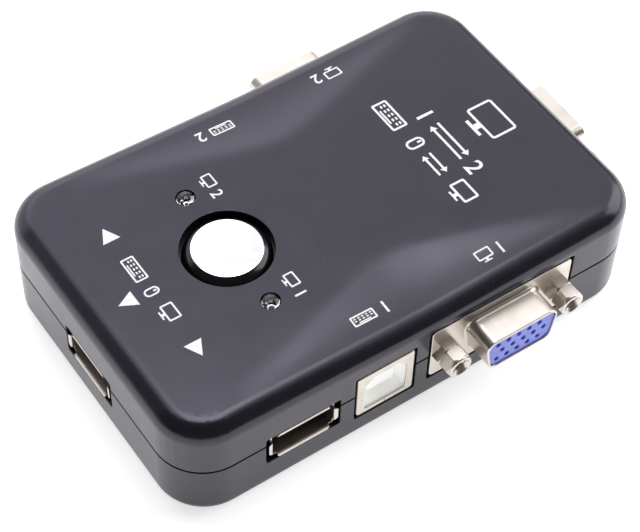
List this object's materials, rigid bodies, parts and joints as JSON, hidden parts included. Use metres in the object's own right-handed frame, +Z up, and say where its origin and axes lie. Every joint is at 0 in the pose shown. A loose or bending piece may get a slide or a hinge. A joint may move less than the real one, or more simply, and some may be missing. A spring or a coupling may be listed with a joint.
{
  "type": "kvm switch",
  "caption": "Desktop box that switches one monitor, keyboard and mouse between two computers with a round push button.",
  "frame": {"origin": "centre of the case's flat underside", "axes": "+X along the case towards the monitor socket, -Y towards computer 1's sockets, +Z up out of the button"},
  "size_m": [0.1045, 0.0762, 0.0246],
  "materials": {
    "case_plastic": "fine satin texture",
    "nickel": "nickel plated",
    "chrome": "bright plated",
    "blue_insulator": "moulded",
    "white_insulator": "translucent moulded",
    "black_plastic": "moulded",
    "steel": "zinc plated",
    "board": "green solder mask",
    "clear_resin": "clear"
  },
  "bodies": {
    "case": {"bottom_cover": "case_plastic", "capacitor_1": "black_plastic", "capacitor_2": "black_plastic", "case_screw_1": "steel", "case_screw_2": "steel", "case_screw_3": "steel", "case_screw_4": "steel", "chip_1": "black_plastic", "chip_2": "black_plastic", "chip_3": "black_plastic", "circuit_board": "board", "crystal": "steel", "lamp_1": "clear_resin", "lamp_2": "clear_resin", "return_spring": "steel", "switch_body": "black_plastic", "top_cover": "case_plastic", "usb_a_back_insulator": "black_plastic", "usb_a_back_shell": "nickel", "usb_a_end_insulator": "black_plastic", "usb_a_end_shell": "nickel", "usb_a_front_insulator": "black_plastic", "usb_a_front_shell": "nickel", "usb_b_computer_1_insulator": "white_insulator", "usb_b_computer_1_shell": "nickel", "usb_b_computer_2_insulator": "white_insulator", "usb_b_computer_2_shell": "nickel", "vga_computer_1_insulator": "blue_insulator", "vga_computer_1_jackscrew_left": "nickel", "vga_computer_1_jackscrew_right": "nickel", "vga_computer_1_shell": "nickel", "vga_computer_2_insulator": "blue_insulator", "vga_computer_2_jackscrew_left": "nickel", "vga_computer_2_jackscrew_right": "nickel", "vga_computer_2_shell": "nickel", "vga_monitor_insulator": "blue_insulator", "vga_monitor_jackscrew_left": "nickel", "vga_monitor_jackscrew_right": "nickel", "vga_monitor_shell": "nickel"},
    "button": {"button_cap": "chrome", "button_carrier": "black_plastic"},
    "switch_plunger": {"switch_plunger": "white_insulator"}
  },
  "joints": [
    {"name": "button_press", "type": "slide", "parent": "case", "child": "button", "axis": [0, 0, -1], "range_m": [0, 0.0012], "stiffness_N_per_m": 400, "springref_m": -0.0015, "deforming": ["return_spring"]},
    {"name": "switch_press", "type": "slide", "parent": "case", "child": "switch_plunger", "axis": [0, 0, -1], "range_m": [0, 0.0012]}
  ],
  "couplings": [
    {"joint": "switch_press", "follows": "button_press", "ratio": 1}
  ]
}
